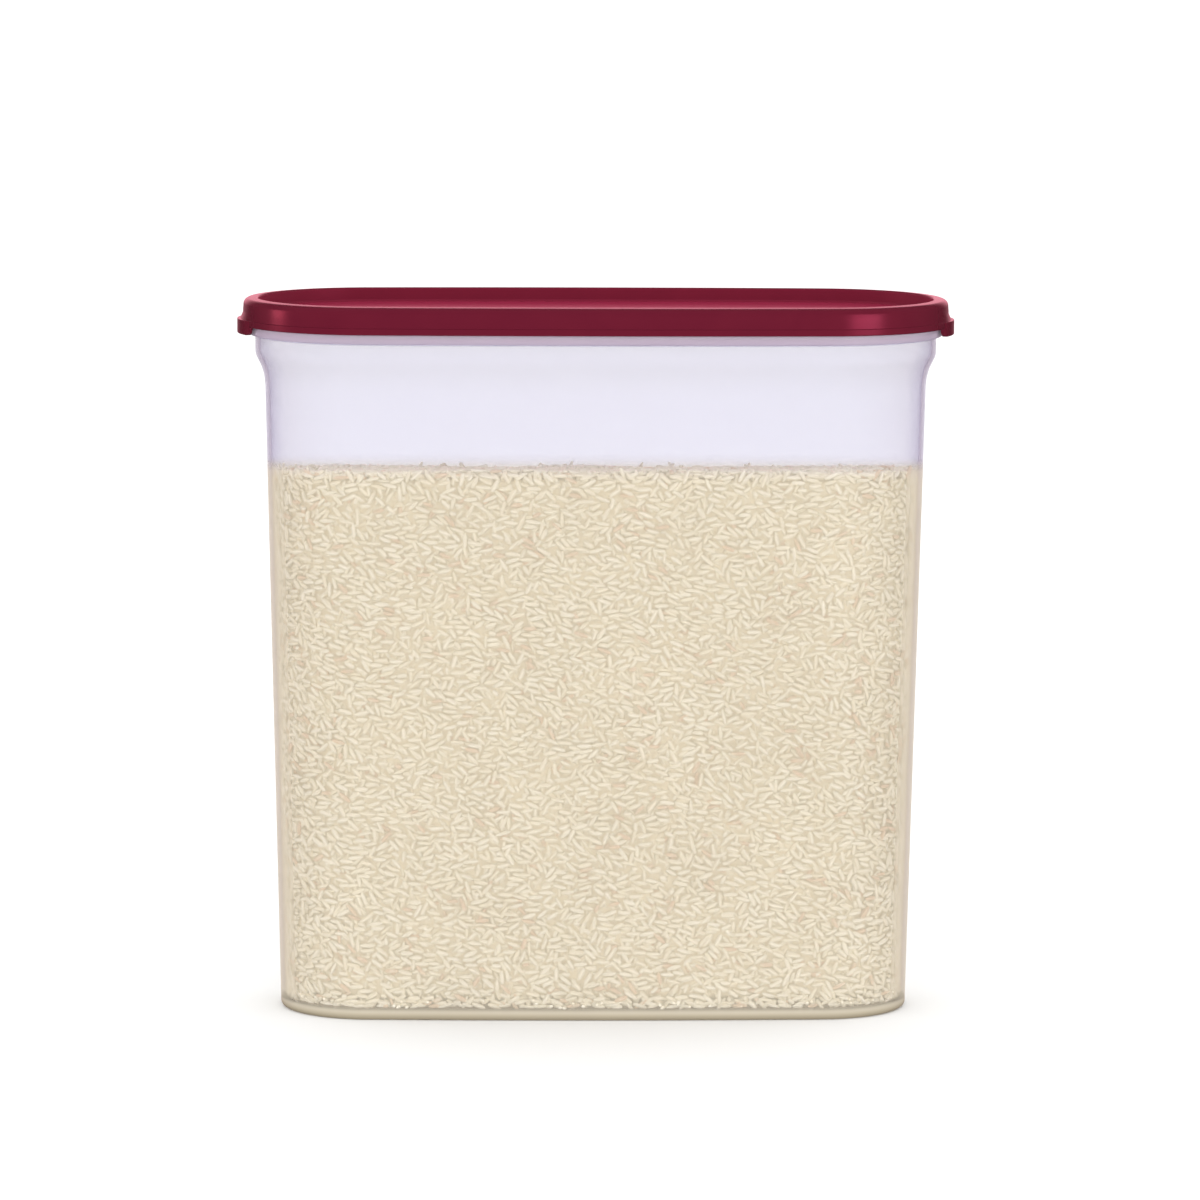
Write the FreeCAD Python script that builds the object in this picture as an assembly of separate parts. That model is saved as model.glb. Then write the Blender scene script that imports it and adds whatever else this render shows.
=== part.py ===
"""Oval food keeper with a press-on lid, filled with dry rice.

The keeper is two injection mouldings: a tall translucent container and an opaque lid with a finger lip
at each end. Both follow one oval plan of four tangent arcs, so every wall, bead and channel is an
offset of the same curve. The rice is the filling that stands in the container.

Millimetres, +Z up. The origin is the centre of the foot, on the surface that the keeper stands on.
X runs along the oval and -Y is the front. In a profile, the first value is the distance outwards from
the outside of the neck, and the second one is the height.
"""

import FreeCAD, Part

import math
import os

# Plan of the oval, on the outside of the neck
neck_length = 256.4
neck_depth = 91.0
end_radius_share = 0.48

# Container: one wall thickness from the foot to the lip
wall = 1.6
foot_height = 1.8
foot_width = 5.0
floor_thickness = 1.8
floor_radius = 7.0
floor_margin = 3.0
base_edge_radius = 2.0
base_inset = 5.8
shoulder_step = 3.6
shoulder_slope_deg = 31.0
shoulder_bend_share = 0.24
neck_height = 5.9
collar_bottom = 256.0
collar_step = 2.2
lip_height = 11.6

# Snap bead around the outside of the lip, rising steeply from below and running out gently upwards
snap_drop = 5.4
snap_height = 3.0
snap_depth = 0.5
snap_crest_share = 0.35

# Lid: a channel that straddles the lip, with a sunk panel inside it
lid_clearance = 0.3
crest_thickness = 2.0
crest_outer_radius = 2.2
crest_inner_radius = 1.3
skirt_thickness = 1.25
skirt_flare = 0.4
skirt_height = 10.3
leg_thickness = 1.4
recess_depth = 5.4
recess_draft = 0.4
recess_radius = 1.2
panel_thickness = 1.5
panel_margin = 3.0
seal_gap = 1.2
seal_thickness = 1.1

# Hem around the bottom of the skirt, with a grip bead inside it that catches under the snap bead
hem_height = 2.4
hem_step = 0.35
grip_height = 1.6

# Finger lip at each end of the lid
finger_width = 34.0
finger_reach = 2.1
finger_root = 1.4
finger_drop = 3.1
finger_edge_radius = 0.9
finger_corner_radius = 2.0

# Rice, a little clear of the container, with a level that falls towards the back
rice_clearance = 0.3
rice_core_share = 0.5
rice_level = 204.5
rice_slope_deg = 4.5

# Bevel on the small edges that show, and the shortest straight piece between two rounded corners
edge_bevel = 0.3
shortest_edge = 0.0001

# Levels and offsets that follow from the sizes above
end_radius = end_radius_share * neck_depth
floor_level = foot_height + floor_thickness
lip_top = collar_bottom + lip_height
lip_inside = collar_step - wall
collar_floor = collar_bottom + wall
snap_outside = collar_step + snap_depth
channel_roof = lip_top + lid_clearance
crest_level = channel_roof + crest_thickness
panel_level = crest_level - recess_depth
panel_under = panel_level - panel_thickness
skirt_bottom = crest_level - skirt_height
hem_top = skirt_bottom + hem_height
skirt_inside = snap_outside + lid_clearance
skirt_outside = skirt_inside + skirt_thickness
hem_outside = skirt_outside + skirt_flare + hem_step
leg_outside = lip_inside - lid_clearance
recess_edge = leg_outside - leg_thickness

UP = FreeCAD.Vector(0, 0, 1)
ORIGIN = FreeCAD.Vector(0, 0, 0)


def plan_arcs():
    """The oval's arcs as centre, radius, first angle and turn: an end, a side, an end and a side."""
    end_centre = neck_length / 2 - end_radius
    bulge = neck_depth / 2 - end_radius
    side_centre = (end_centre ** 2 - bulge ** 2) / (2 * bulge)
    side_radius = side_centre + neck_depth / 2
    end_half = math.degrees(math.atan2(side_centre, end_centre))
    side_turn = 180 - 2 * end_half
    arcs = []
    for spin in (0, 180):
        turned = FreeCAD.Rotation(UP, spin)
        end = turned.multVec(FreeCAD.Vector(end_centre, 0, 0))
        side = turned.multVec(FreeCAD.Vector(0, -side_centre, 0))
        arcs.append((end, end_radius, spin - end_half, 2 * end_half))
        arcs.append((side, side_radius, spin + end_half, side_turn))
    return arcs


ARCS = plan_arcs()


def profile(points, shift):
    """A face in the XZ plane through points (offset, height, corner radius), moved outwards by shift."""
    corners = [FreeCAD.Vector(offset + shift, 0, height) for offset, height, radius in points]
    rounds = []
    for i, (offset, height, radius) in enumerate(points):
        back = (corners[i - 1] - corners[i]).normalize()
        ahead = (corners[(i + 1) % len(corners)] - corners[i]).normalize()
        half = back.getAngle(ahead) / 2
        reach = radius / math.tan(half)
        middle = (back + ahead).normalize() * (radius / math.sin(half) - radius)
        rounds.append((corners[i] + back * reach, corners[i] + middle, corners[i] + ahead * reach))
    edges = []
    for i, (start, middle, end) in enumerate(rounds):
        following = rounds[(i + 1) % len(rounds)][0]
        if points[i][2] > edge_bevel:
            edges.append(Part.Arc(start, middle, end).toShape())
        elif points[i][2]:
            edges.append(Part.LineSegment(start, end).toShape())
        if (following - end).Length > shortest_edge:
            edges.append(Part.LineSegment(end, following).toShape())
    return Part.Face(Part.Wire(edges))


def around(points):
    """The solid that a profile makes when it is carried round the oval."""
    quarters = []
    for centre, radius, first, turn in ARCS:
        quarter = profile(points, radius).revolve(ORIGIN, UP, turn)
        quarter.rotate(ORIGIN, UP, first)
        quarter.translate(centre)
        quarters.append(quarter)
    return quarters[0].fuse(quarters[1:])


def plate(offset, bottom, top):
    """A flat plate with the oval, moved outwards by offset, as its edge."""
    edges = []
    for centre, radius, first, turn in ARCS:
        circle = Part.Circle(centre, UP, radius + offset)
        edges.append(circle.toShape(math.radians(first), math.radians(first + turn)))
    solid = Part.Face(Part.Wire(edges)).extrude(UP * (top - bottom))
    solid.translate(UP * bottom)
    return solid


# Line of the container's outer wall: foot, drafted side, shoulder with a hollow and a round bend, neck
slope = math.radians(shoulder_slope_deg)
slope_length = shoulder_step / math.sin(slope)
round_reach = slope_length * shoulder_bend_share
round_level = collar_bottom - neck_height - round_reach
hollow_level = round_level - shoulder_step / math.tan(slope)
draft = math.atan2(base_inset, hollow_level)
round_radius = round_reach / math.tan(slope / 2)
hollow_radius = (slope_length - round_reach) / math.tan((slope - draft) / 2)


def side_offset(level, inset):
    """Offset of the drafted side at a level, or of a line inside it by inset."""
    return -shoulder_step - (hollow_level - level) * math.tan(draft) - inset / math.cos(draft)


def inside(offset, level, above, below):
    """The bend of the inner wall, one thickness inside a bend between two leans from the upright."""
    scale = wall / (1 + math.cos(above - below))
    return offset - scale * (math.cos(above) + math.cos(below)), level + scale * (math.sin(above) + math.sin(below))


def build_container():
    foot_outside = side_offset(0, 0)
    foot_inside = foot_outside - foot_width
    floor_edge = side_offset(floor_level, wall)
    floor_joint = floor_edge - floor_radius - floor_margin
    snap_top = lip_top - snap_drop + snap_height / 2
    snap_bottom = snap_top - snap_height
    snap_crest = snap_bottom + snap_height * snap_crest_share
    round_inside = inside(0, round_level, 0, slope)
    hollow_inside = inside(-shoulder_step, hollow_level, slope, draft)
    shell = around([
        (floor_joint, foot_height, 0),
        (foot_inside, foot_height, 0),
        (foot_inside, 0, 0),
        (foot_outside, 0, base_edge_radius),
        (-shoulder_step, hollow_level, hollow_radius),
        (0, round_level, round_radius),
        (0, collar_bottom, 0),
        (collar_step, collar_bottom, edge_bevel),
        (collar_step, snap_bottom, 0),
        (snap_outside, snap_crest, 0),
        (collar_step, snap_top, 0),
        (collar_step, lip_top, edge_bevel),
        (lip_inside, lip_top, edge_bevel),
        (lip_inside, collar_floor, 0),
        (-wall, collar_floor, 0),
        (*round_inside, round_radius - wall),
        (*hollow_inside, hollow_radius + wall),
        (floor_edge, floor_level, floor_radius),
        (floor_joint, floor_level, 0),
    ])
    return shell.fuse(plate(floor_joint, foot_height, floor_level)).removeSplitter()


def build_finger_lip():
    """The crescent at the +X end, from the hem down past the bottom of the skirt."""
    end_centre = neck_length / 2 - end_radius
    half_width = finger_width / 2
    tip = neck_length / 2 + hem_outside + finger_reach - hem_step
    root = end_centre + math.sqrt((end_radius + hem_outside) ** 2 - half_width ** 2)
    bow = tip - root
    radius = (bow ** 2 + half_width ** 2) / (2 * bow)
    bottom = skirt_bottom - finger_drop
    drum = Part.makeCylinder(radius, hem_top - bottom, FreeCAD.Vector(tip - radius, 0, bottom), UP)
    rims = [edge for edge in drum.Edges if edge.Closed]
    drum = drum.makeFillet(finger_edge_radius, rims)
    window = profile([
        (-half_width, bottom, finger_corner_radius),
        (half_width, bottom, finger_corner_radius),
        (half_width, hem_top, 0),
        (-half_width, hem_top, 0),
    ], 0).extrude(FreeCAD.Vector(0, tip, 0))
    window.rotate(ORIGIN, UP, -90)
    return drum.common(window).cut(plate(hem_outside - finger_root, bottom, hem_top))


def build_lid():
    panel_joint = recess_edge - recess_draft - recess_radius - panel_margin
    seal_inside = leg_outside - seal_thickness
    seal_bottom = collar_floor + seal_gap
    skirt_foot = skirt_outside + skirt_flare
    inner_foot = skirt_inside + skirt_flare
    grip_bottom = skirt_bottom + grip_height / 2
    grip_top = grip_bottom + grip_height
    rim = around([
        (panel_joint, panel_level, 0),
        (recess_edge - recess_draft, panel_level, recess_radius),
        (recess_edge, crest_level, crest_inner_radius),
        (skirt_outside, crest_level, crest_outer_radius),
        (skirt_foot, hem_top, 0),
        (hem_outside, hem_top, edge_bevel),
        (hem_outside, skirt_bottom, edge_bevel),
        (inner_foot, skirt_bottom, 0),
        (inner_foot, grip_bottom, 0),
        (skirt_inside, (grip_bottom + grip_top) / 2, 0),
        (inner_foot, grip_top, 0),
        (skirt_inside, channel_roof, 0),
        (leg_outside, channel_roof, 0),
        (leg_outside, seal_bottom, edge_bevel),
        (seal_inside, seal_bottom, 0),
        (seal_inside, panel_under, 0),
        (panel_joint, panel_under, 0),
    ])
    finger = build_finger_lip()
    other_finger = finger.copy()
    other_finger.rotate(ORIGIN, UP, 180)
    return rim.fuse([plate(panel_joint, panel_under, panel_level), finger, other_finger]).removeSplitter()


def build_rice():
    bottom = floor_level + rice_clearance
    fall = math.tan(math.radians(rice_slope_deg)) * neck_depth
    top = rice_level + fall
    inset = wall + rice_clearance
    corner_radius = floor_radius - rice_clearance
    core = -end_radius * rice_core_share
    rim = around([
        (core, bottom, 0),
        (side_offset(bottom, inset), bottom, corner_radius),
        (side_offset(top, inset), top, 0),
        (core, top, 0),
    ])
    heap = rim.fuse(plate(core, bottom, top))
    air = Part.makeBox(neck_length, 2 * neck_depth, 2 * fall, FreeCAD.Vector(-neck_length / 2, -neck_depth, 0))
    air.rotate(ORIGIN, FreeCAD.Vector(1, 0, 0), -rice_slope_deg)
    air.translate(UP * rice_level)
    return heap.cut(air).removeSplitter()


os.makedirs("parts", exist_ok=True)
build_container().exportStep("parts/container_body.step")
build_lid().exportStep("parts/lid.step")
build_rice().exportStep("parts/rice_fill.step")
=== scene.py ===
"""Looks of an oval food keeper with rice in it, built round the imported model.

Lengths are in mm until a mesh is made.
"""

import math

import bpy
import numpy as np
from mathutils import Matrix


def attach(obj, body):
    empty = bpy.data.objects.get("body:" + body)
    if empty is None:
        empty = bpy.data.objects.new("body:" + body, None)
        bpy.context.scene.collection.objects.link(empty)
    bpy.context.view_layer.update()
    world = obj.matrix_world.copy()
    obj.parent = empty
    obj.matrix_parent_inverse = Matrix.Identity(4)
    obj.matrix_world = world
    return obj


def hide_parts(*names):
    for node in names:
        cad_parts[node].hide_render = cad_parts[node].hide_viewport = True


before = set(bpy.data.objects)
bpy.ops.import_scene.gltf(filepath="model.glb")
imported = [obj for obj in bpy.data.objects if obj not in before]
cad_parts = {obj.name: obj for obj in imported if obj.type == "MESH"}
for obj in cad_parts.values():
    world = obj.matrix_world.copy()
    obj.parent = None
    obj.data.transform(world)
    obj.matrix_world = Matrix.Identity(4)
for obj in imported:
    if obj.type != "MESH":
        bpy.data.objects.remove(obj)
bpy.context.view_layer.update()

# Container: a tall oval tub, injection moulded in one piece in natural polypropylene with a faint violet
# tint. The wall leans in towards the foot. Above it a shoulder swells out to the neck, which carries a
# collar and the lip that the lid is pressed onto.
MM = 0.001
NECK_LENGTH, NECK_DEPTH, END_RADIUS = 256.4, 91.0, 43.68
WALL = 1.6
FLOOR_UNDER, FLOOR_LEVEL, FLOOR_RADIUS = 1.8, 3.6, 1.5
FOOT_OUTSIDE, FOOT_INSIDE, FOOT_RADIUS, FLOOR_JOINT = -9.4, -14.4, 2.0, -21.0
SHOULDER_STEP, HOLLOW_LEVEL, ROUND_LEVEL = 3.6, 242.431, 248.422
HOLLOW_RADIUS, ROUND_RADIUS = 20.085, 6.049
SLOPE, DRAFT = math.radians(31), 0.02392
COLLAR_BOTTOM, COLLAR_OUTSIDE, COLLAR_FLOOR = 256.0, 2.2, 257.6
LIP_TOP, LIP_INSIDE = 267.6, 0.6
SNAP_BOTTOM, SNAP_CREST, SNAP_TOP, SNAP_OUTSIDE = 260.7, 261.75, 263.7, 2.7
EDGE = 0.5
END_STEPS, SIDE_STEPS, TURN_STEP = 240, 24, math.radians(11)
FLAT_WEIGHT = 80


def oval_arcs():
    """The oval's four arcs from the +X end on: centre x, centre y, radius, first angle and turn."""
    centre = NECK_LENGTH / 2 - END_RADIUS
    bulge = NECK_DEPTH / 2 - END_RADIUS
    far = (centre ** 2 - bulge ** 2) / (2 * bulge)
    half = math.atan2(far, centre)
    side = math.pi - 2 * half
    return [
        (centre, 0, END_RADIUS, -half, 2 * half),
        (0, -far, far + NECK_DEPTH / 2, half, side),
        (-centre, 0, END_RADIUS, math.pi - half, 2 * half),
        (0, far, far + NECK_DEPTH / 2, math.pi + half, side),
    ]


def stations():
    """Centre x, centre y, radius and angle at each step round the oval."""
    rows = []
    for (x, y, radius, first, turn), steps in zip(oval_arcs(), (END_STEPS, SIDE_STEPS) * 2):
        rows += [(x, y, radius, first + turn * i / steps) for i in range(steps)]
    return np.array(rows).T


def rounded(path):
    """Points along a profile of (offset, height, corner radius), and the corner of each point."""
    corners = np.array([p[:2] for p in path])
    line, owner = [corners[0]], [0]
    for i in range(1, len(path) - 1):
        if not path[i][2]:
            line.append(corners[i])
            owner.append(i)
            continue
        back, ahead = corners[i - 1] - corners[i], corners[i + 1] - corners[i]
        back, ahead = back / np.linalg.norm(back), ahead / np.linalg.norm(ahead)
        half = math.acos(np.clip(back @ ahead, -1, 1)) / 2
        bisector = (back + ahead) / np.linalg.norm(back + ahead)
        middle = corners[i] + bisector * path[i][2] / math.sin(half)
        start = corners[i] + back * path[i][2] / math.tan(half) - middle
        turn = math.copysign(math.pi - 2 * half, back[1] * ahead[0] - back[0] * ahead[1])
        steps = max(2, math.ceil(abs(turn) / TURN_STEP))
        for angle in np.linspace(0, turn, steps + 1):
            c, s = math.cos(angle), math.sin(angle)
            line.append(middle + (c * start[0] - s * start[1], s * start[0] + c * start[1]))
            owner.append(i)
    return np.array(line + [corners[-1]]), np.array(owner + [len(path) - 1])


def moulding(name, offsets, heights):
    """A closed mesh from rows of points round the oval, with a flat oval across the first and last row."""
    x, y, radius, angle = stations()
    count, rows = len(angle), len(offsets)
    spots = np.empty((rows, count, 3))
    spots[..., 0] = x + (radius + offsets) * np.cos(angle)
    spots[..., 1] = y + (radius + offsets) * np.sin(angle)
    spots[..., 2] = heights
    faces = []
    for row in range(rows - 1):
        low, high = row * count, (row + 1) * count
        steps = [(k, (k + 1) % count) for k in range(count)]
        faces += [(low + k, low + after, high + after, high + k) for k, after in steps]
    tip = END_STEPS // 2
    for base in (0, (rows - 1) * count):
        for k in range(count // 2):
            rung = [tip + k, tip + k + 1, tip - k - 1, tip - k]
            rung = [base + spot % count for spot in rung]
            faces.append(tuple(dict.fromkeys(rung if base else rung[::-1])))
    mesh = bpy.data.meshes.new(name)
    mesh.from_pydata((spots.reshape(-1, 3) * MM).tolist(), [], faces)
    mesh.shade_smooth()
    made = bpy.data.objects.new(name, mesh)
    bpy.context.scene.collection.objects.link(made)
    made.modifiers.new("even_shading", "WEIGHTED_NORMAL").weight = FLAT_WEIGHT
    return made


def inner_bend(offset, level, above, below):
    """The bend of the inner wall, one thickness inside a bend between two leans from the upright."""
    scale = WALL / (1 + math.cos(above - below))
    inward, upward = math.cos(above) + math.cos(below), math.sin(above) + math.sin(below)
    return offset - scale * inward, level + scale * upward


def side_offset(level, inset):
    """Offset of the drafted wall at a level, or of a line inside it by inset."""
    return -SHOULDER_STEP - (HOLLOW_LEVEL - level) * math.tan(DRAFT) - inset / math.cos(DRAFT)


tub_line, _ = rounded([
    (FLOOR_JOINT, FLOOR_UNDER, 0),
    (FOOT_INSIDE, FLOOR_UNDER, EDGE),
    (FOOT_INSIDE, 0, EDGE),
    (FOOT_OUTSIDE, 0, FOOT_RADIUS),
    (-SHOULDER_STEP, HOLLOW_LEVEL, HOLLOW_RADIUS),
    (0, ROUND_LEVEL, ROUND_RADIUS),
    (0, COLLAR_BOTTOM, EDGE),
    (COLLAR_OUTSIDE, COLLAR_BOTTOM, EDGE),
    (COLLAR_OUTSIDE, SNAP_BOTTOM, EDGE),
    (SNAP_OUTSIDE, SNAP_CREST, EDGE),
    (COLLAR_OUTSIDE, SNAP_TOP, EDGE),
    (COLLAR_OUTSIDE, LIP_TOP, EDGE),
    (LIP_INSIDE, LIP_TOP, EDGE),
    (LIP_INSIDE, COLLAR_FLOOR, EDGE),
    (-WALL, COLLAR_FLOOR, EDGE),
    (*inner_bend(0, ROUND_LEVEL, 0, SLOPE), ROUND_RADIUS - WALL),
    (*inner_bend(-SHOULDER_STEP, HOLLOW_LEVEL, SLOPE, DRAFT), HOLLOW_RADIUS + WALL),
    (side_offset(FLOOR_LEVEL, WALL), FLOOR_LEVEL, FLOOR_RADIUS),
    (FLOOR_JOINT, FLOOR_LEVEL, 0),
])
tub = moulding("container_shell", tub_line[:, :1], tub_line[:, 1:])


def linear(code):
    """An sRGB hex colour as linear red, green, blue and alpha."""
    shares = [int(code[i:i + 2], 16) / 255 for i in (1, 3, 5)]
    return [s / 12.92 if s <= 0.04045 else ((s + 0.055) / 1.055) ** 2.4 for s in shares] + [1]


def add(tree, kind, inputs=(), **settings):
    """A node of this kind with its settings. Each input is set to a value, or linked to a socket."""
    made = tree.nodes.new("ShaderNode" + kind)
    for name, value in settings.items():
        setattr(made, name, value)
    for name, value in dict(inputs).items():
        if isinstance(value, bpy.types.NodeSocket):
            tree.links.new(value, made.inputs[name])
        else:
            made.inputs[name].default_value = value
    return made


def new_finish(name):
    """An empty material, its node tree and the coordinates that its patterns follow, in metres."""
    made = bpy.data.materials.new(name)
    made.use_nodes = True
    made.node_tree.nodes.clear()
    return made, made.node_tree, add(made.node_tree, "TexCoord").outputs["Object"]


# Natural polypropylene, moulded in a polished tool: a milky wall that takes up the cream of the rice behind it
# and, above the rice, the violet of its own tint. It is hazier where it is thick, at the foot and the collar,
# and both hazier and darker where the eye goes along it. Painted shade: the foot is darker towards its bottom
# edge, and the collar's mauve, partly its own thick tint, darkens towards its lower edge under the lid.
# The cooling melt leaves faint clouds.
CLOUD_SIZE = 40
RICE_LEVEL, RICE_SLOPE = 204.5, math.radians(4.5)
WALL_SHADES = (
    (RICE_LEVEL - 3, "#E4DAC2", 0.28),
    (RICE_LEVEL, "#E0D7C5", 0.28),
    (RICE_LEVEL + 2.5, "#D4CFC9", 0.18),
    (RICE_LEVEL + 5, "#C4C6EE", 0.12),
)
THICK_HAZE_AND_PAINTED_SHADE = (
    # Foot: darker towards its bottom edge, painted shade under its rounded edge and by the floor.
    (0, "#7F745E", 0.92),
    (1.2, "#8A7F68", 0.9),
    (2.4, "#A69B86", 0.88),
    (3.4, "#C0B5A2", 0.7),
    (4.4, "#DACFBD", 0.3),
    (6, "#E4DAC2", 0.0),
    # Collar: mauve, partly the thick plastic's tint and partly painted shade under the lid, darkest at its
    # lower edge.
    (COLLAR_BOTTOM - 0.4, "#927881", 0.0),
    (COLLAR_BOTTOM - 0.1, "#927881", 0.7),
    (COLLAR_BOTTOM + 0.6, "#A78B91", 0.7),
    (COLLAR_BOTTOM + 3, "#B79B9F", 0.7),
)


def shades(tree, level, stops):
    """Colour and haze by level, through stops of a height, a colour and a haze."""
    low, high = stops[0][0], stops[-1][0]
    share = add(tree, "MapRange", {"Value": level, "From Min": low * MM, "From Max": high * MM})
    ramp = add(tree, "ValToRGB", {"Fac": share.outputs["Result"]})
    marks = ramp.color_ramp.elements
    for number, (height, code, haze) in enumerate(stops):
        mark = marks[number] if number < 2 else marks.new(1)
        mark.position, mark.color = (height - low) / (high - low), linear(code)[:3] + [haze]
    return ramp.outputs["Color"], ramp.outputs["Alpha"]


polypropylene, tree, place = new_finish("natural_polypropylene_moulded")
cloud = {"Vector": place, "Scale": 1 / (CLOUD_SIZE * MM), "Detail": 2.0}
clouds = add(tree, "TexNoise", cloud).outputs["Fac"]
level = add(tree, "SeparateXYZ", {"Vector": place}).outputs["Z"]
rice_plane = (0, math.tan(RICE_SLOPE), 1)
over_rice = add(tree, "VectorMath", {0: place, 1: rice_plane}, operation="DOT_PRODUCT").outputs["Value"]
wall_colour, wall_haze = shades(tree, over_rice, WALL_SHADES)
thick_colour_and_shade, thick_haze = shades(tree, level, THICK_HAZE_AND_PAINTED_SHADE)
shade = add(tree, "Mix", {0: thick_haze, 6: wall_colour, 7: thick_colour_and_shade}, data_type="RGBA").outputs[2]
glance = add(tree, "LayerWeight", {"Blend": 0.5}).outputs["Facing"]
gain = {"Value": glance, "From Min": 0.45, "From Max": 0.9, "To Min": 1.0, "To Max": 1.9}
thicken = add(tree, "MapRange", gain).outputs["Result"]
side_haze = add(tree, "Math", {0: wall_haze, 1: thicken}, operation="MULTIPLY").outputs["Value"]
haze = add(tree, "Math", {0: side_haze, 1: thick_haze}, operation="MAXIMUM").outputs["Value"]
dim = add(tree, "MapRange", {"Value": clouds, "To Min": 0.94, "To Max": 1.04}).outputs["Result"]
tint = add(tree, "VectorMath", {0: shade, "Scale": dim}, operation="SCALE").outputs["Vector"]
matt = add(tree, "MapRange", {"Value": clouds, "To Min": 0.38, "To Max": 0.44}).outputs["Result"]
shader = add(tree, "BsdfPrincipled", {"Base Color": tint, "Roughness": matt, "IOR": 1.49, "Alpha": haze})
depth = add(tree, "VolumeAbsorption", {"Color": linear("#CDBFC9"), "Density": 84.0})
add(tree, "OutputMaterial", {"Surface": shader.outputs["BSDF"], "Volume": depth.outputs["Volume"]})
tub.data.materials.append(polypropylene)
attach(tub, "container")
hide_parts("container_body")

# Rice: long-grain white rice, poured in and settled, so that most grains lie flat along the wall. Loose grains
# lie three deep at the wall and on top and one deep on the floor, round a core that stands for the rest.
GRAIN_LENGTH, GRAIN_WIDTH, GRAIN_THICKNESS = 5.3, 1.85, 1.5
SIZE_SPREAD = (0.1, 0.06, 0.06)
RINGS, SIDES, GERM_END = (-0.86, -0.45, 0.4, 0.84), 6, 0.97
TAPER, CURVE = 2.3, 0.10
BROKEN_SHARE, BROKEN_LENGTHS = 0.12, (0.45, 0.7)
RICE_GAP, LOOSENESS = 0.2, 0.5
LAYER_DEPTHS = (0.0, 0.9, 1.8)
# Tones per layer: the deeper layers and the core get darker ones, painted shade in the gaps between the grains.
LAYER_TONES_AND_SHADE, CORE_SHADE = ((0.35, 1.0), (0.25, 0.8), (0.18, 0.5)), 0.16
BRAN_SHARE = 0.05
STRIP_LENGTH, STRIP_TOP, STRIP_INSET = 560, 207, 8
WALL_TURN, TURN_PER_LAYER = 46, 10
WALL_TILT, TILT_PER_LAYER, TOP_TILT = 12, 6, 6
TILT_ROOM, ROLL_SPREAD = 0.4, 0.5
TOP_INSET, BED_INSET, BED_LEVEL = 2.2, 8.0, FLOOR_LEVEL + RICE_GAP + 1.6
TOP_RISE, SWELL_HEIGHT, RIPPLE_SHARE = 0.3, 0.6, 0.6
SWELL_X, SWELL_Y, SWELL_SKEW, RIPPLE_X, RIPPLE_Y = 23, 17, 41, 9, 11
CORE_DEPTH, CORE_DROP, CORE_JOINT, CORE_FOOT_ROUND, CORE_TOP_ROUND = 3.4, 2.6, -30, 3, 2
CELL = 0.3
TURNS, BATCH = 1600, 400
GRAINS_PER_PIECE, CHART_SHARE = 4000, 0.42
rng = np.random.default_rng(7)


def lay_grains(width, height, spread, turns):
    """Grains laid flat without overlaps on a strip that joins up at its ends: along, up and turn."""
    columns, rows = int(width / CELL), int(height / CELL)
    reach = math.ceil(GRAIN_LENGTH / 2 / CELL)
    taken = np.zeros(columns * (rows + 2 * reach), bool)
    cells = np.mgrid[-reach:reach + 1, -reach:reach + 1].reshape(2, -1)
    laid = []
    for turn in rng.normal(0, spread, turns):
        along = cells[0] * math.cos(turn) + cells[1] * math.sin(turn)
        across = cells[1] * math.cos(turn) - cells[0] * math.sin(turn)
        covered = (along * 2 / GRAIN_LENGTH) ** 2 + (across * 2 / GRAIN_WIDTH) ** 2 < CELL ** -2
        column, row = rng.integers(0, columns, BATCH), rng.integers(0, rows, BATCH)
        spots = (row[:, None] + reach + cells[1, covered]) * columns
        spots += (column[:, None] + cells[0, covered]) % columns
        for i in np.flatnonzero(~taken[spots].any(1)):
            if not taken[spots[i]].any():
                taken[spots[i]] = True
                laid.append((column[i] * CELL, row[i] * CELL, turn))
    return np.array(laid).T


def unit(directions):
    """Directions brought to a length of one."""
    return directions / np.linalg.norm(directions, axis=-1, keepdims=True)


def round_the_oval(share):
    """Centre x, centre y, radius and angle at shares of the way round the inside of the container."""
    arcs = np.array(oval_arcs())
    ends = np.cumsum((arcs[:, 2] - STRIP_INSET) * arcs[:, 4])
    way = share * ends[-1]
    arc = np.searchsorted(ends, way, side="right").clip(0, len(arcs) - 1)
    left = (ends[arc] - way) / (arcs[arc, 2] - STRIP_INSET)
    return arcs[arc, 0], arcs[arc, 1], arcs[arc, 2], arcs[arc, 3] + arcs[arc, 4] - left


def tilted(direction, towards, spread):
    """Directions leaned towards another direction by random angles."""
    lean = rng.normal(0, spread, len(direction))[:, None]
    return unit(direction * np.cos(lean) + towards * np.sin(lean))


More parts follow.
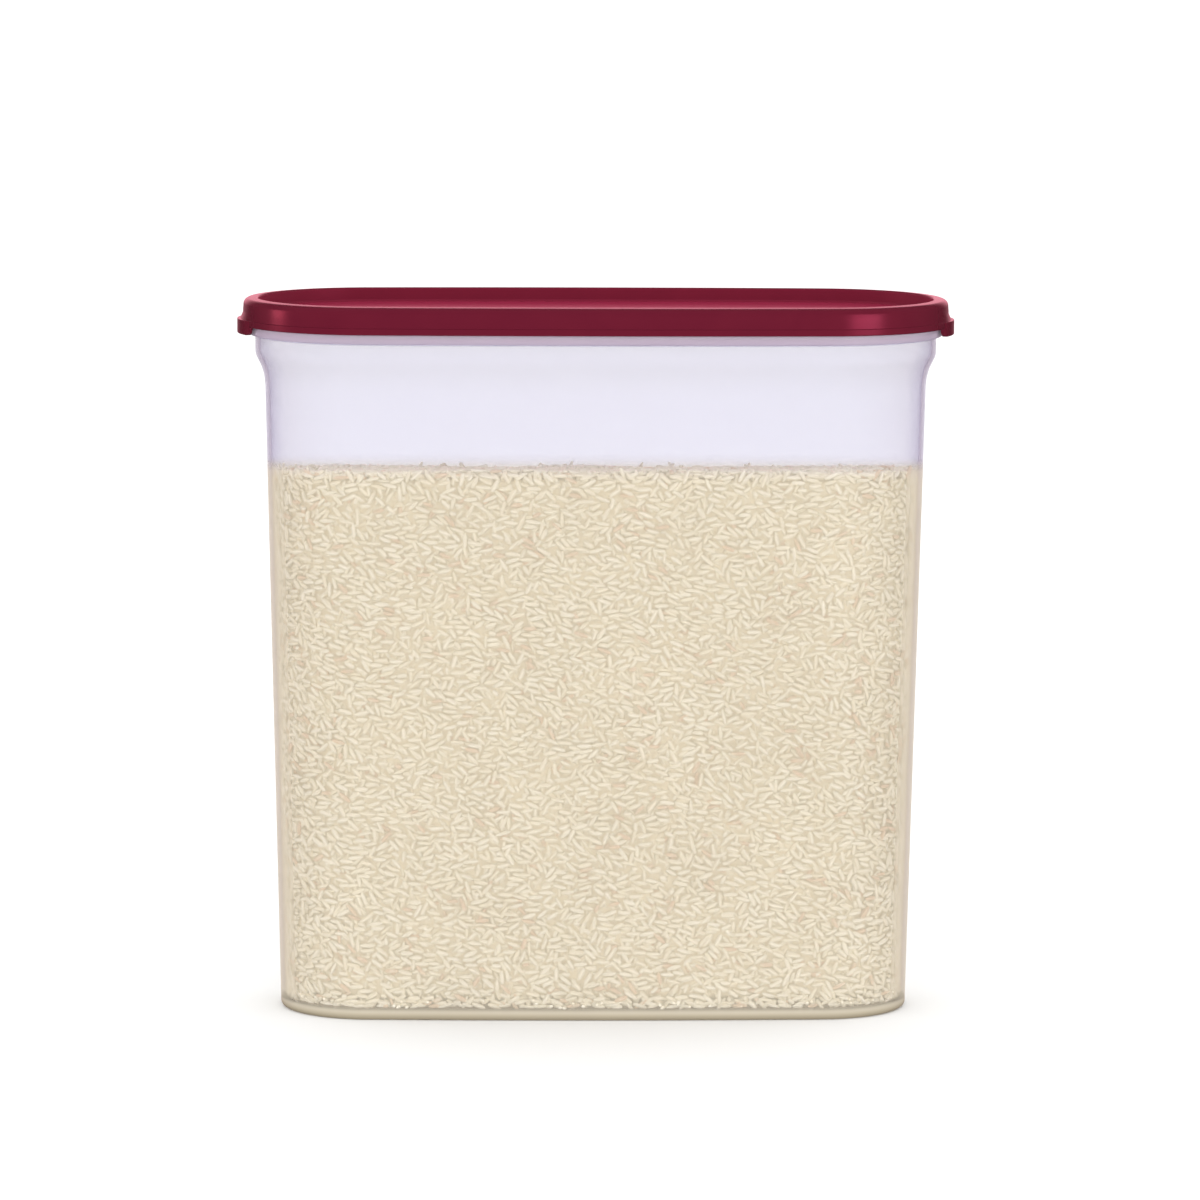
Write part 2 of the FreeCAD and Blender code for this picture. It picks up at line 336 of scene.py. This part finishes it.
def wall_grains(layer):
    """Centres, long axes, thin axes and tones of the grains of one layer against the wall; deeper layers get
    darker tones, painted shade.
    """
    fillet = FLOOR_RADIUS - RICE_GAP
    bend = fillet * (math.pi / 2 - DRAFT)
    low = FLOOR_LEVEL + RICE_GAP + fillet
    spread = math.radians(WALL_TURN + TURN_PER_LAYER * layer)
    along, up, turn = lay_grains(STRIP_LENGTH, STRIP_TOP - low + bend, spread, TURNS)
    x, y, radius, angle = round_the_oval(along / STRIP_LENGTH)
    bent = np.minimum(up, bend) / fillet
    lean = math.pi / 2 - DRAFT - bent
    straight = np.maximum(up - bend, 0)
    side = side_offset(FLOOR_LEVEL, WALL + RICE_GAP)
    offset = side - fillet + fillet * np.cos(lean + DRAFT) + straight * math.sin(DRAFT)
    height = low - fillet * np.sin(lean + DRAFT) + straight * math.cos(DRAFT)
    out = np.stack([np.cos(angle), np.sin(angle), 0 * angle], 1)
    round_way = np.stack([-np.sin(angle), np.cos(angle), 0 * angle], 1)
    rise = np.array([0, 0, 1])
    facing = out * np.cos(lean + DRAFT)[:, None] - rise * np.sin(lean + DRAFT)[:, None]
    upward = out * np.sin(lean + DRAFT)[:, None] + rise * np.cos(lean + DRAFT)[:, None]
    depth = GRAIN_THICKNESS / 2 + LAYER_DEPTHS[layer] + rng.uniform(0, LOOSENESS, len(angle))
    reach = radius + offset
    centre = np.stack([x + reach * np.cos(angle), y + reach * np.sin(angle), height], 1)
    axis = round_way * np.cos(turn)[:, None] + upward * np.sin(turn)[:, None]
    axis = tilted(axis, facing, math.radians(WALL_TILT + TILT_PER_LAYER * layer))
    depth += np.abs((axis * facing).sum(1)) * GRAIN_LENGTH * TILT_ROOM
    centre -= facing * depth[:, None]
    keep = centre[:, 2] < RICE_LEVEL - centre[:, 1] * math.tan(RICE_SLOPE)
    return centre[keep], axis[keep], facing[keep], rng.uniform(*LAYER_TONES_AND_SHADE[layer], keep.sum())


def flat_grains(level, slope, layer, inset):
    """The same for one layer of grains across the container, on a plane that falls towards the back."""
    along, up, turn = lay_grains(NECK_LENGTH, NECK_DEPTH, math.pi, TURNS // 2)
    x, y = along - NECK_LENGTH / 2, up - NECK_DEPTH / 2
    end = NECK_LENGTH / 2 - END_RADIUS
    room = END_RADIUS + side_offset(level, WALL + RICE_GAP) - inset
    keep = np.hypot(np.maximum(np.abs(x) - end, 0), y) < room
    x, y, turn = x[keep], y[keep], turn[keep]
    swell = np.sin(x / SWELL_X) * np.cos(y / SWELL_Y + x / SWELL_SKEW)
    swell += RIPPLE_SHARE * np.sin(x / RIPPLE_X + 2) * np.sin(y / RIPPLE_Y)
    drop = LAYER_DEPTHS[layer] + rng.uniform(0, LOOSENESS, len(x)) - TOP_RISE - SWELL_HEIGHT * swell
    facing = np.tile([0, math.sin(slope), math.cos(slope)], (len(x), 1))
    centre = np.stack([x, y, level - y * math.tan(slope) - drop], 1)
    axis = np.stack([np.cos(turn), np.sin(turn), -np.sin(turn) * math.tan(slope)], 1)
    tone = rng.uniform(*LAYER_TONES_AND_SHADE[layer], len(x))
    return centre, tilted(unit(axis), facing, math.radians(TOP_TILT)), facing, tone


def grain_piece(name, centre, axis, facing, grain_tone_and_shade):
    """One mesh of grains: six-sided, slightly curved, a little blunter at the end where the germ was."""
    count = len(centre)
    ring = np.arange(SIDES) / SIDES * 2 * math.pi
    girth = [(1 - abs(t) ** TAPER) ** 0.5 for t in RINGS]
    belly = [(t, g * math.cos(a), g * math.sin(a)) for t, g in zip(RINGS, girth) for a in ring]
    shape = np.array([(-1, 0, 0)] + belly + [(GERM_END, 0, 0)])
    shape[:, 2] -= CURVE * shape[:, 0] ** 2
    broken = rng.random(count) < BROKEN_SHARE
    size = rng.normal(1, SIZE_SPREAD, (count, 3)) * (GRAIN_LENGTH / 2, GRAIN_WIDTH / 2, GRAIN_THICKNESS / 2)
    size[:, 0] *= np.where(broken, rng.uniform(*BROKEN_LENGTHS, count), 1)
    thin = unit(facing - axis * (facing * axis).sum(1, keepdims=True))
    roll = rng.normal(0, ROLL_SPREAD, count)[:, None]
    wide = np.cross(thin, axis)
    cos, sin = np.cos(roll), np.sin(roll)
    thin, wide = thin * cos + wide * sin, wide * cos - thin * sin
    basis = np.stack([axis, wide, thin], 1)
    spots = np.einsum("pi,gi,gij->gpj", shape, size, basis) + centre[:, None]
    per, last = len(shape), len(shape) - 1
    steps = [(s, (s + 1) % SIDES) for s in range(SIDES)]
    starts = [1 + r * SIDES for r in range(len(RINGS) - 1)]
    quads = [(r + s, r + after, r + SIDES + after, r + SIDES + s) for r in starts for s, after in steps]
    fans = [(0, 1 + after, 1 + s) for s, after in steps]
    fans += [(last, last - SIDES + s, last - SIDES + after) for s, after in steps]
    loops = np.array([c for face in quads + fans for c in face])
    totals = np.array([len(face) for face in quads + fans])
    mesh = bpy.data.meshes.new(name)
    mesh.vertices.add(count * per)
    mesh.vertices.foreach_set("co", (spots * MM).ravel())
    mesh.loops.add(count * len(loops))
    corners = (np.arange(count)[:, None] * per + loops).ravel()
    mesh.loops.foreach_set("vertex_index", corners.astype(np.int32))
    mesh.polygons.add(count * len(totals))
    lengths = np.tile(totals, count)
    mesh.polygons.foreach_set("loop_start", (np.cumsum(lengths) - lengths).astype(np.int32))
    mesh.update(calc_edges=True)
    mesh.shade_smooth()
    tone = mesh.attributes.new("tone", "FLOAT", "POINT")
    tone.data.foreach_set("value", np.repeat(grain_tone_and_shade, per))
    across = math.ceil(math.sqrt(count))
    home = np.stack([np.arange(count) % across, np.arange(count) // across], 1)
    flat = home[:, None] + 0.5 + shape[:, :2] * CHART_SHARE
    chart = mesh.uv_layers.new(name="OFBake")
    chart.uv.foreach_set("vector", (flat.reshape(-1, 2)[corners] / across).ravel())
    made = bpy.data.objects.new(name, mesh)
    bpy.context.scene.collection.objects.link(made)
    return made


layers = [wall_grains(layer) for layer in range(len(LAYER_DEPTHS))]
layers += [flat_grains(RICE_LEVEL, RICE_SLOPE, layer, TOP_INSET) for layer in range(len(LAYER_DEPTHS))]
layers += [flat_grains(BED_LEVEL, 0, 0, BED_INSET)]
centres, axes, facings, tones = [np.concatenate(kind) for kind in zip(*layers)]
tones[rng.random(len(tones)) < BRAN_SHARE] = 0
scoops = []
for first in range(0, len(centres), GRAINS_PER_PIECE):
    scoop = slice(first, first + GRAINS_PER_PIECE)
    name = f"rice_grains_{first // GRAINS_PER_PIECE + 1}"
    scoops.append(grain_piece(name, centres[scoop], axes[scoop], facings[scoop], tones[scoop]))

core_line, _ = rounded([
    (CORE_JOINT, FLOOR_LEVEL + RICE_GAP + CORE_DEPTH, 0),
    (side_offset(FLOOR_LEVEL, WALL + CORE_DEPTH), FLOOR_LEVEL + RICE_GAP + CORE_DEPTH, CORE_FOOT_ROUND),
    (side_offset(RICE_LEVEL, WALL + CORE_DEPTH), RICE_LEVEL - CORE_DROP, CORE_TOP_ROUND),
    (CORE_JOINT, RICE_LEVEL - CORE_DROP, 0),
])
core = moulding("rice_core", core_line[:, :1], core_line[:, 1:])
for corner in core.data.vertices:
    if corner.co.z > RICE_LEVEL * MM / 2:
        corner.co.z -= corner.co.y * math.tan(RICE_SLOPE)
# The core is given a dark tone: painted shade where it shows between the grains.
core_shade = core.data.attributes.new("tone", "FLOAT", "POINT")
core_shade.data.foreach_set("value", np.full(len(core.data.vertices), CORE_SHADE))

# Milled white rice: each grain has its own cream, from glassy to chalky, with chalky patches, and a few keep
# some pinkish bran. The deeper layers and the core are painted darker, as painted shade in the gaps between the
# grains. The polished skin has a soft shine.
CHALK_SIZE = 2
white_rice, tree, place = new_finish("white_rice_milled")
own = add(tree, "Attribute", attribute_name="tone").outputs["Fac"]
patches = {"Vector": place, "Scale": 1 / (CHALK_SIZE * MM), "Detail": 2.0}
chalk = add(tree, "TexNoise", patches).outputs["Fac"]
cream = add(tree, "ValToRGB", {"Fac": own})
cream.color_ramp.elements[0].color = linear("#E3C9B0")
cream.color_ramp.elements[1].color = linear("#FCFAEE")
cream.color_ramp.elements.new(0.08).color = linear("#EADEC3")
cream.color_ramp.elements.new(0.35).color = linear("#F6F0DC")
pale = add(tree, "MapRange", {"Value": chalk, "From Min": 0.5, "From Max": 0.75, "To Max": 0.5})
creams = {0: pale.outputs["Result"], 6: cream.outputs["Color"], 7: linear("#FCFAEE")}
colour = add(tree, "Mix", creams, data_type="RGBA").outputs[2]
shader = add(tree, "BsdfPrincipled", {"Base Color": colour, "Roughness": 0.38, "IOR": 1.5})
add(tree, "OutputMaterial", {"Surface": shader.outputs["BSDF"]})
for piece in [core] + scoops:
    piece.data.materials.append(white_rice)
    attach(piece, "container")
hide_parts("rice_fill")

# Lid: moulded in one piece in burgundy polyethylene. A channel in its raised rim is pressed over the lip, and
# the panel inside the rim is sunk for stacking. At each end the skirt flares into a finger lip that hangs from
# the hem, to pull the lid off.
CREST_LEVEL, PANEL_LEVEL, PANEL_UNDER = 269.9, 264.5, 263.0
CHANNEL_ROOF, SKIRT_BOTTOM, HEM_TOP, SEAL_BOTTOM = 267.9, 259.6, 262.0, 258.8
RECESS_EDGE, PANEL_EDGE, PANEL_JOINT = -1.1, -1.5, -5.7
SKIRT_OUTSIDE, SKIRT_BOW, SKIRT_FOOT, HEM_OUTSIDE = 4.25, 4.56, 4.65, 5.0
BOW_LEVEL, CREST_FALL = 265.2, 0.4
SKIRT_INSIDE, INNER_FOOT, LEG_OUTSIDE, SEAL_INSIDE = 3.0, 3.4, 0.3, -0.8
GRIP_BOTTOM, GRIP_TOP = 260.4, 262.0
FINGER_WIDTH, FINGER_TIP, FINGER_DROP, FINGER_CORNER, FINGER_FLARE = 34.0, 134.95, 3.1, 3.0, 0.5
PANEL_ROUND, RECESS_ROUND, RIM_ROUND, BOW_ROUND = 1.2, 0.8, 2.3, 40
HEM_ROOT, HEM_ROUND, GRIP_ROUND, FOOT_ROUND, LEG_ROOT = 0.2, 0.15, 0.3, 0.4, 0.6
lid_line, owner = rounded([
    (PANEL_JOINT, PANEL_LEVEL, 0),
    (PANEL_EDGE, PANEL_LEVEL, PANEL_ROUND),
    (RECESS_EDGE, CREST_LEVEL, RECESS_ROUND),
    (SKIRT_OUTSIDE, CREST_LEVEL - CREST_FALL, RIM_ROUND),
    (SKIRT_BOW, BOW_LEVEL, BOW_ROUND),
    (SKIRT_FOOT, HEM_TOP, HEM_ROOT),
    (HEM_OUTSIDE, HEM_TOP, HEM_ROUND),
    (HEM_OUTSIDE, SKIRT_BOTTOM, FOOT_ROUND),
    (INNER_FOOT, SKIRT_BOTTOM, FOOT_ROUND),
    (INNER_FOOT, GRIP_BOTTOM, GRIP_ROUND),
    (SKIRT_INSIDE, (GRIP_BOTTOM + GRIP_TOP) / 2, GRIP_ROUND),
    (INNER_FOOT, GRIP_TOP, GRIP_ROUND),
    (SKIRT_INSIDE, CHANNEL_ROOF, EDGE),
    (LEG_OUTSIDE, CHANNEL_ROOF, EDGE),
    (LEG_OUTSIDE, SEAL_BOTTOM, FOOT_ROUND),
    (SEAL_INSIDE, SEAL_BOTTOM, FOOT_ROUND),
    (SEAL_INSIDE, PANEL_UNDER, LEG_ROOT),
    (PANEL_JOINT, PANEL_UNDER, 0),
])
RECESS_CORNER, ROOT_CORNER, HEM_CORNER, OUTER_FOOT_CORNER, INNER_FOOT_CORNER = 2, 5, 6, 7, 8
hem_lower = np.isin(owner, (OUTER_FOOT_CORNER, INNER_FOOT_CORNER))
flare = np.where(owner == ROOT_CORNER, FINGER_FLARE, np.isin(owner, (HEM_CORNER, OUTER_FOOT_CORNER)))
x, y, radius, angle = stations()
hem_radius = END_RADIUS + HEM_OUTSIDE
end_centre = NECK_LENGTH / 2 - END_RADIUS
half_width = FINGER_WIDTH / 2
bow = FINGER_TIP - end_centre - math.sqrt(hem_radius ** 2 - half_width ** 2)
bow_radius = (bow ** 2 + half_width ** 2) / (2 * bow)
bow_centre = FINGER_TIP - bow_radius - end_centre
lean = np.arctan2(np.sin(angle), np.abs(np.cos(angle)))
aside = np.abs(hem_radius * np.sin(lean))
at_end = (aside < half_width) & (radius == END_RADIUS)
chord = np.sqrt(np.maximum(bow_radius ** 2 - (bow_centre * np.sin(lean)) ** 2, 0))
reach = bow_centre * np.cos(lean) + chord - hem_radius
in_corner = np.maximum((aside - half_width + FINGER_CORNER) / FINGER_CORNER, 0)
fade = np.sqrt(np.clip(1 - in_corner ** 2, 0, 1))
offsets = lid_line[:, :1] + np.outer(flare, np.where(at_end, reach, 0))
heights = lid_line[:, 1:] - np.outer(hem_lower, np.where(at_end, FINGER_DROP * fade, 0))
lid = moulding("lid_cover", offsets, heights)

# Burgundy polyethylene, moulded: the colour leaves faint swirls. The rim comes from a polished part of the tool
# and has clear highlights. The panel comes from an eroded part, whose fine grain, drawn coarser here so that it
# shows, leaves it matt, with a pinkish bloom where the eye goes along it. The recess's base colour is lighter
# than the rim's, partly for its matt finish and partly painted light on the panel, which faces up to the dome.
SWIRL_SIZE, GRAIN_SIZE, GRAIN_HEIGHT = 25, 0.5, 0.1
for name, dark, bright, smooth, rough, relief, shine, bloom in (
    ("burgundy_polyethylene_rim", "#531323", "#591625", 0.22, 0.28, 0.02, 0.5, 0.0),
    # Lighter base colour: partly the matt finish, partly painted light on the up-facing panel.
    ("burgundy_polyethylene_recess", "#6A1B2D", "#721E31", 0.34, 0.42, 0.15, 0.35, 0.2),
):
    polyethylene, tree, place = new_finish(name)
    swirl = {"Vector": place, "Scale": 1 / (SWIRL_SIZE * MM), "Detail": 3.0, "Distortion": 1.5}
    swirls = add(tree, "TexNoise", swirl).outputs["Fac"]
    pits = {"Vector": place, "Scale": 1 / (GRAIN_SIZE * MM), "Detail": 1.0}
    grain = add(tree, "TexNoise", pits).outputs["Fac"]
    tint = add(tree, "ValToRGB", {"Fac": swirls})
    tint.color_ramp.elements[0].color = linear(dark)
    tint.color_ramp.elements[1].color = linear(bright)
    matt = add(tree, "MapRange", {"Value": swirls, "To Min": smooth, "To Max": rough}).outputs["Result"]
    skin = add(tree, "Bump", {"Height": grain, "Strength": relief, "Distance": GRAIN_HEIGHT * MM})
    shader = add(tree, "BsdfPrincipled", {
        "Base Color": tint.outputs["Color"],
        "Roughness": matt,
        "Normal": skin.outputs["Normal"],
        "IOR": 1.5,
        "Specular IOR Level": shine,
        "Specular Tint": linear("#FF6189"),
        "Sheen Weight": bloom,
        "Sheen Tint": linear("#FF447C"),
    })
    add(tree, "OutputMaterial", {"Surface": shader.outputs["BSDF"]})
    lid.data.materials.append(polyethylene)
# The panel's finish ends part of the way round the upper edge of the recess.
FINISH_ROW = 3
inside = len(angle) * np.flatnonzero(owner == RECESS_CORNER)[FINISH_ROW]
for face in lid.data.polygons:
    face.material_index = int(min(face.vertices) < inside)
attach(lid, "lid")
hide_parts("lid")

# Studio: a pale floor that runs to the horizon and throws nothing back, under a white dome. In what the pieces
# mirror, the dome is bright behind and dark in front, and two soft boxes at the left and the front right give
# highlights. A fill in front and a small one under the lid light the rice and the wall.
FLOOR_SIZE, FLOOR_GAP, MOTTLE_SIZE, BACKDROP = 60, 0.02, 500, 1.05
mesh = bpy.data.meshes.new("floor")
signs = ((-1, -1), (1, -1), (1, 1), (-1, 1))
mesh.from_pydata([(across * FLOOR_SIZE, away * FLOOR_SIZE, 0) for across, away in signs], [], [(0, 1, 2, 3)])
floor = bpy.data.objects.new("floor", mesh)
bpy.context.scene.collection.objects.link(floor)
floor.location.z = -FLOOR_GAP * MM
floor.visible_diffuse = floor.visible_glossy = False

# Matt floor paint: an even pale grey with a barely visible mottle.
paint, tree, place = new_finish("floor_paint_matt")
mottle = add(tree, "TexNoise", {"Vector": place, "Scale": 1 / (MOTTLE_SIZE * MM)}).outputs["Fac"]
tint = add(tree, "ValToRGB", {"Fac": mottle})
tint.color_ramp.elements[0].color = linear("#D9D9D9")
tint.color_ramp.elements[1].color = linear("#DBDBDB")
shader = add(tree, "BsdfDiffuse", {"Color": tint.outputs["Color"]})
add(tree, "OutputMaterial", {"Surface": shader.outputs["BSDF"]})
floor.data.materials.append(paint)

world = bpy.data.worlds.new("studio")
bpy.context.scene.world = world
world.use_nodes = True
tree = world.node_tree
tree.nodes.clear()
way = add(tree, "SeparateXYZ", {"Vector": add(tree, "TexCoord").outputs["Generated"]}).outputs
behind, rise, fall = [
    add(tree, "MapRange", {
        "Value": way[axis], "From Min": first, "From Max": last, "To Min": start, "To Max": end,
    }).outputs["Result"]
    for axis, first, last, start, end in (
        ("Y", 0.8, 0.985, 0.04, 1.0),
        ("Z", -0.08, 0.08, 0.6, 2.0),
        ("Z", 0.2, 0.5, 1.0, 0.2),
    )
]
band = add(tree, "Math", {0: rise, 1: fall}, operation="MULTIPLY").outputs["Value"]
mirrored = add(tree, "Math", {0: behind, 1: band}, operation="MULTIPLY").outputs["Value"]
lit = add(tree, "MapRange", {"Value": way["Z"], "From Min": -1.0, "To Min": 1.46, "To Max": 1.75})
ray = add(tree, "LightPath").outputs
seen = add(tree, "Mix", {0: ray["Is Camera Ray"], 2: lit.outputs["Result"], 3: BACKDROP}).outputs[0]
strength = add(tree, "Mix", {0: ray["Is Glossy Ray"], 2: seen, 3: mirrored}).outputs[0]
hues = {0: ray["Is Glossy Ray"], 6: linear("#FFFFFF"), 7: linear("#FFA8B8")}
hue = add(tree, "Mix", hues, data_type="RGBA").outputs[2]
dome = add(tree, "Background", {"Color": hue, "Strength": strength})
add(tree, "OutputWorld", {"Surface": dome.outputs["Background"]})

for name, spot, width, height, power, code, for_highlights in (
    ("left_box", (-1.3, 0.0, 0.28), 0.3, 0.14, 1.1, "#FFB0BE", True),
    ("right_box", (0.85, -0.98, 0.28), 0.6, 0.17, 3.2, "#FFFFFF", True),
    ("front_fill", (0.0, -2.2, 0.25), 2.0, 0.5, 11.0, "#FFFFFF", False),
    ("inner_fill", (0.0, 0.0, 0.255), 0.19, 0.05, 0.018, "#FFF4E6", False),
):
    light = bpy.data.lights.new(name, "AREA")
    light.shape, light.size, light.size_y, light.energy = "RECTANGLE", width, height, power
    light.color = linear(code)[:3]
    box = bpy.data.objects.new(name, light)
    bpy.context.scene.collection.objects.link(box)
    box.matrix_world = Matrix.Translation(spot)
    if spot[0] or spot[1]:
        box.rotation_euler = (math.pi / 2, 0, math.atan2(spot[1], spot[0]) + math.pi / 2)
    box.visible_diffuse, box.visible_glossy, box.visible_camera = not for_highlights, for_highlights, False

bpy.context.scene.view_settings.view_transform = "Standard"

# Camera: a long lens on a stand, a little to the left of the middle, looking down at the keeper by about
# seven degrees.
CAMERA_DISTANCE, CAMERA_HEIGHT, CAMERA_SHIFT = 2546.1, 485.3, 1.93
PITCH, ROLL, YAW = 0.1290, 0.0044, 0.0250
FOCAL_PIXELS, IMAGE_PIXELS, SENSOR = 6784.5, 1200, 36
FARTHEST = 200
lens = bpy.data.cameras.new("camera")
lens.sensor_width = SENSOR
lens.lens = FOCAL_PIXELS / IMAGE_PIXELS * SENSOR
lens.clip_end = FARTHEST
camera = bpy.data.objects.new("camera", lens)
bpy.context.scene.collection.objects.link(camera)
turn = Matrix.Rotation(-YAW, 4, "Z")
stand = Matrix.Translation((CAMERA_SHIFT * MM, -CAMERA_DISTANCE * MM, CAMERA_HEIGHT * MM))
aim = Matrix.Rotation(math.pi / 2 - PITCH, 4, "X") @ Matrix.Rotation(ROLL, 4, "Z")
camera.matrix_world = turn @ stand @ aim
bpy.context.scene.camera = camera
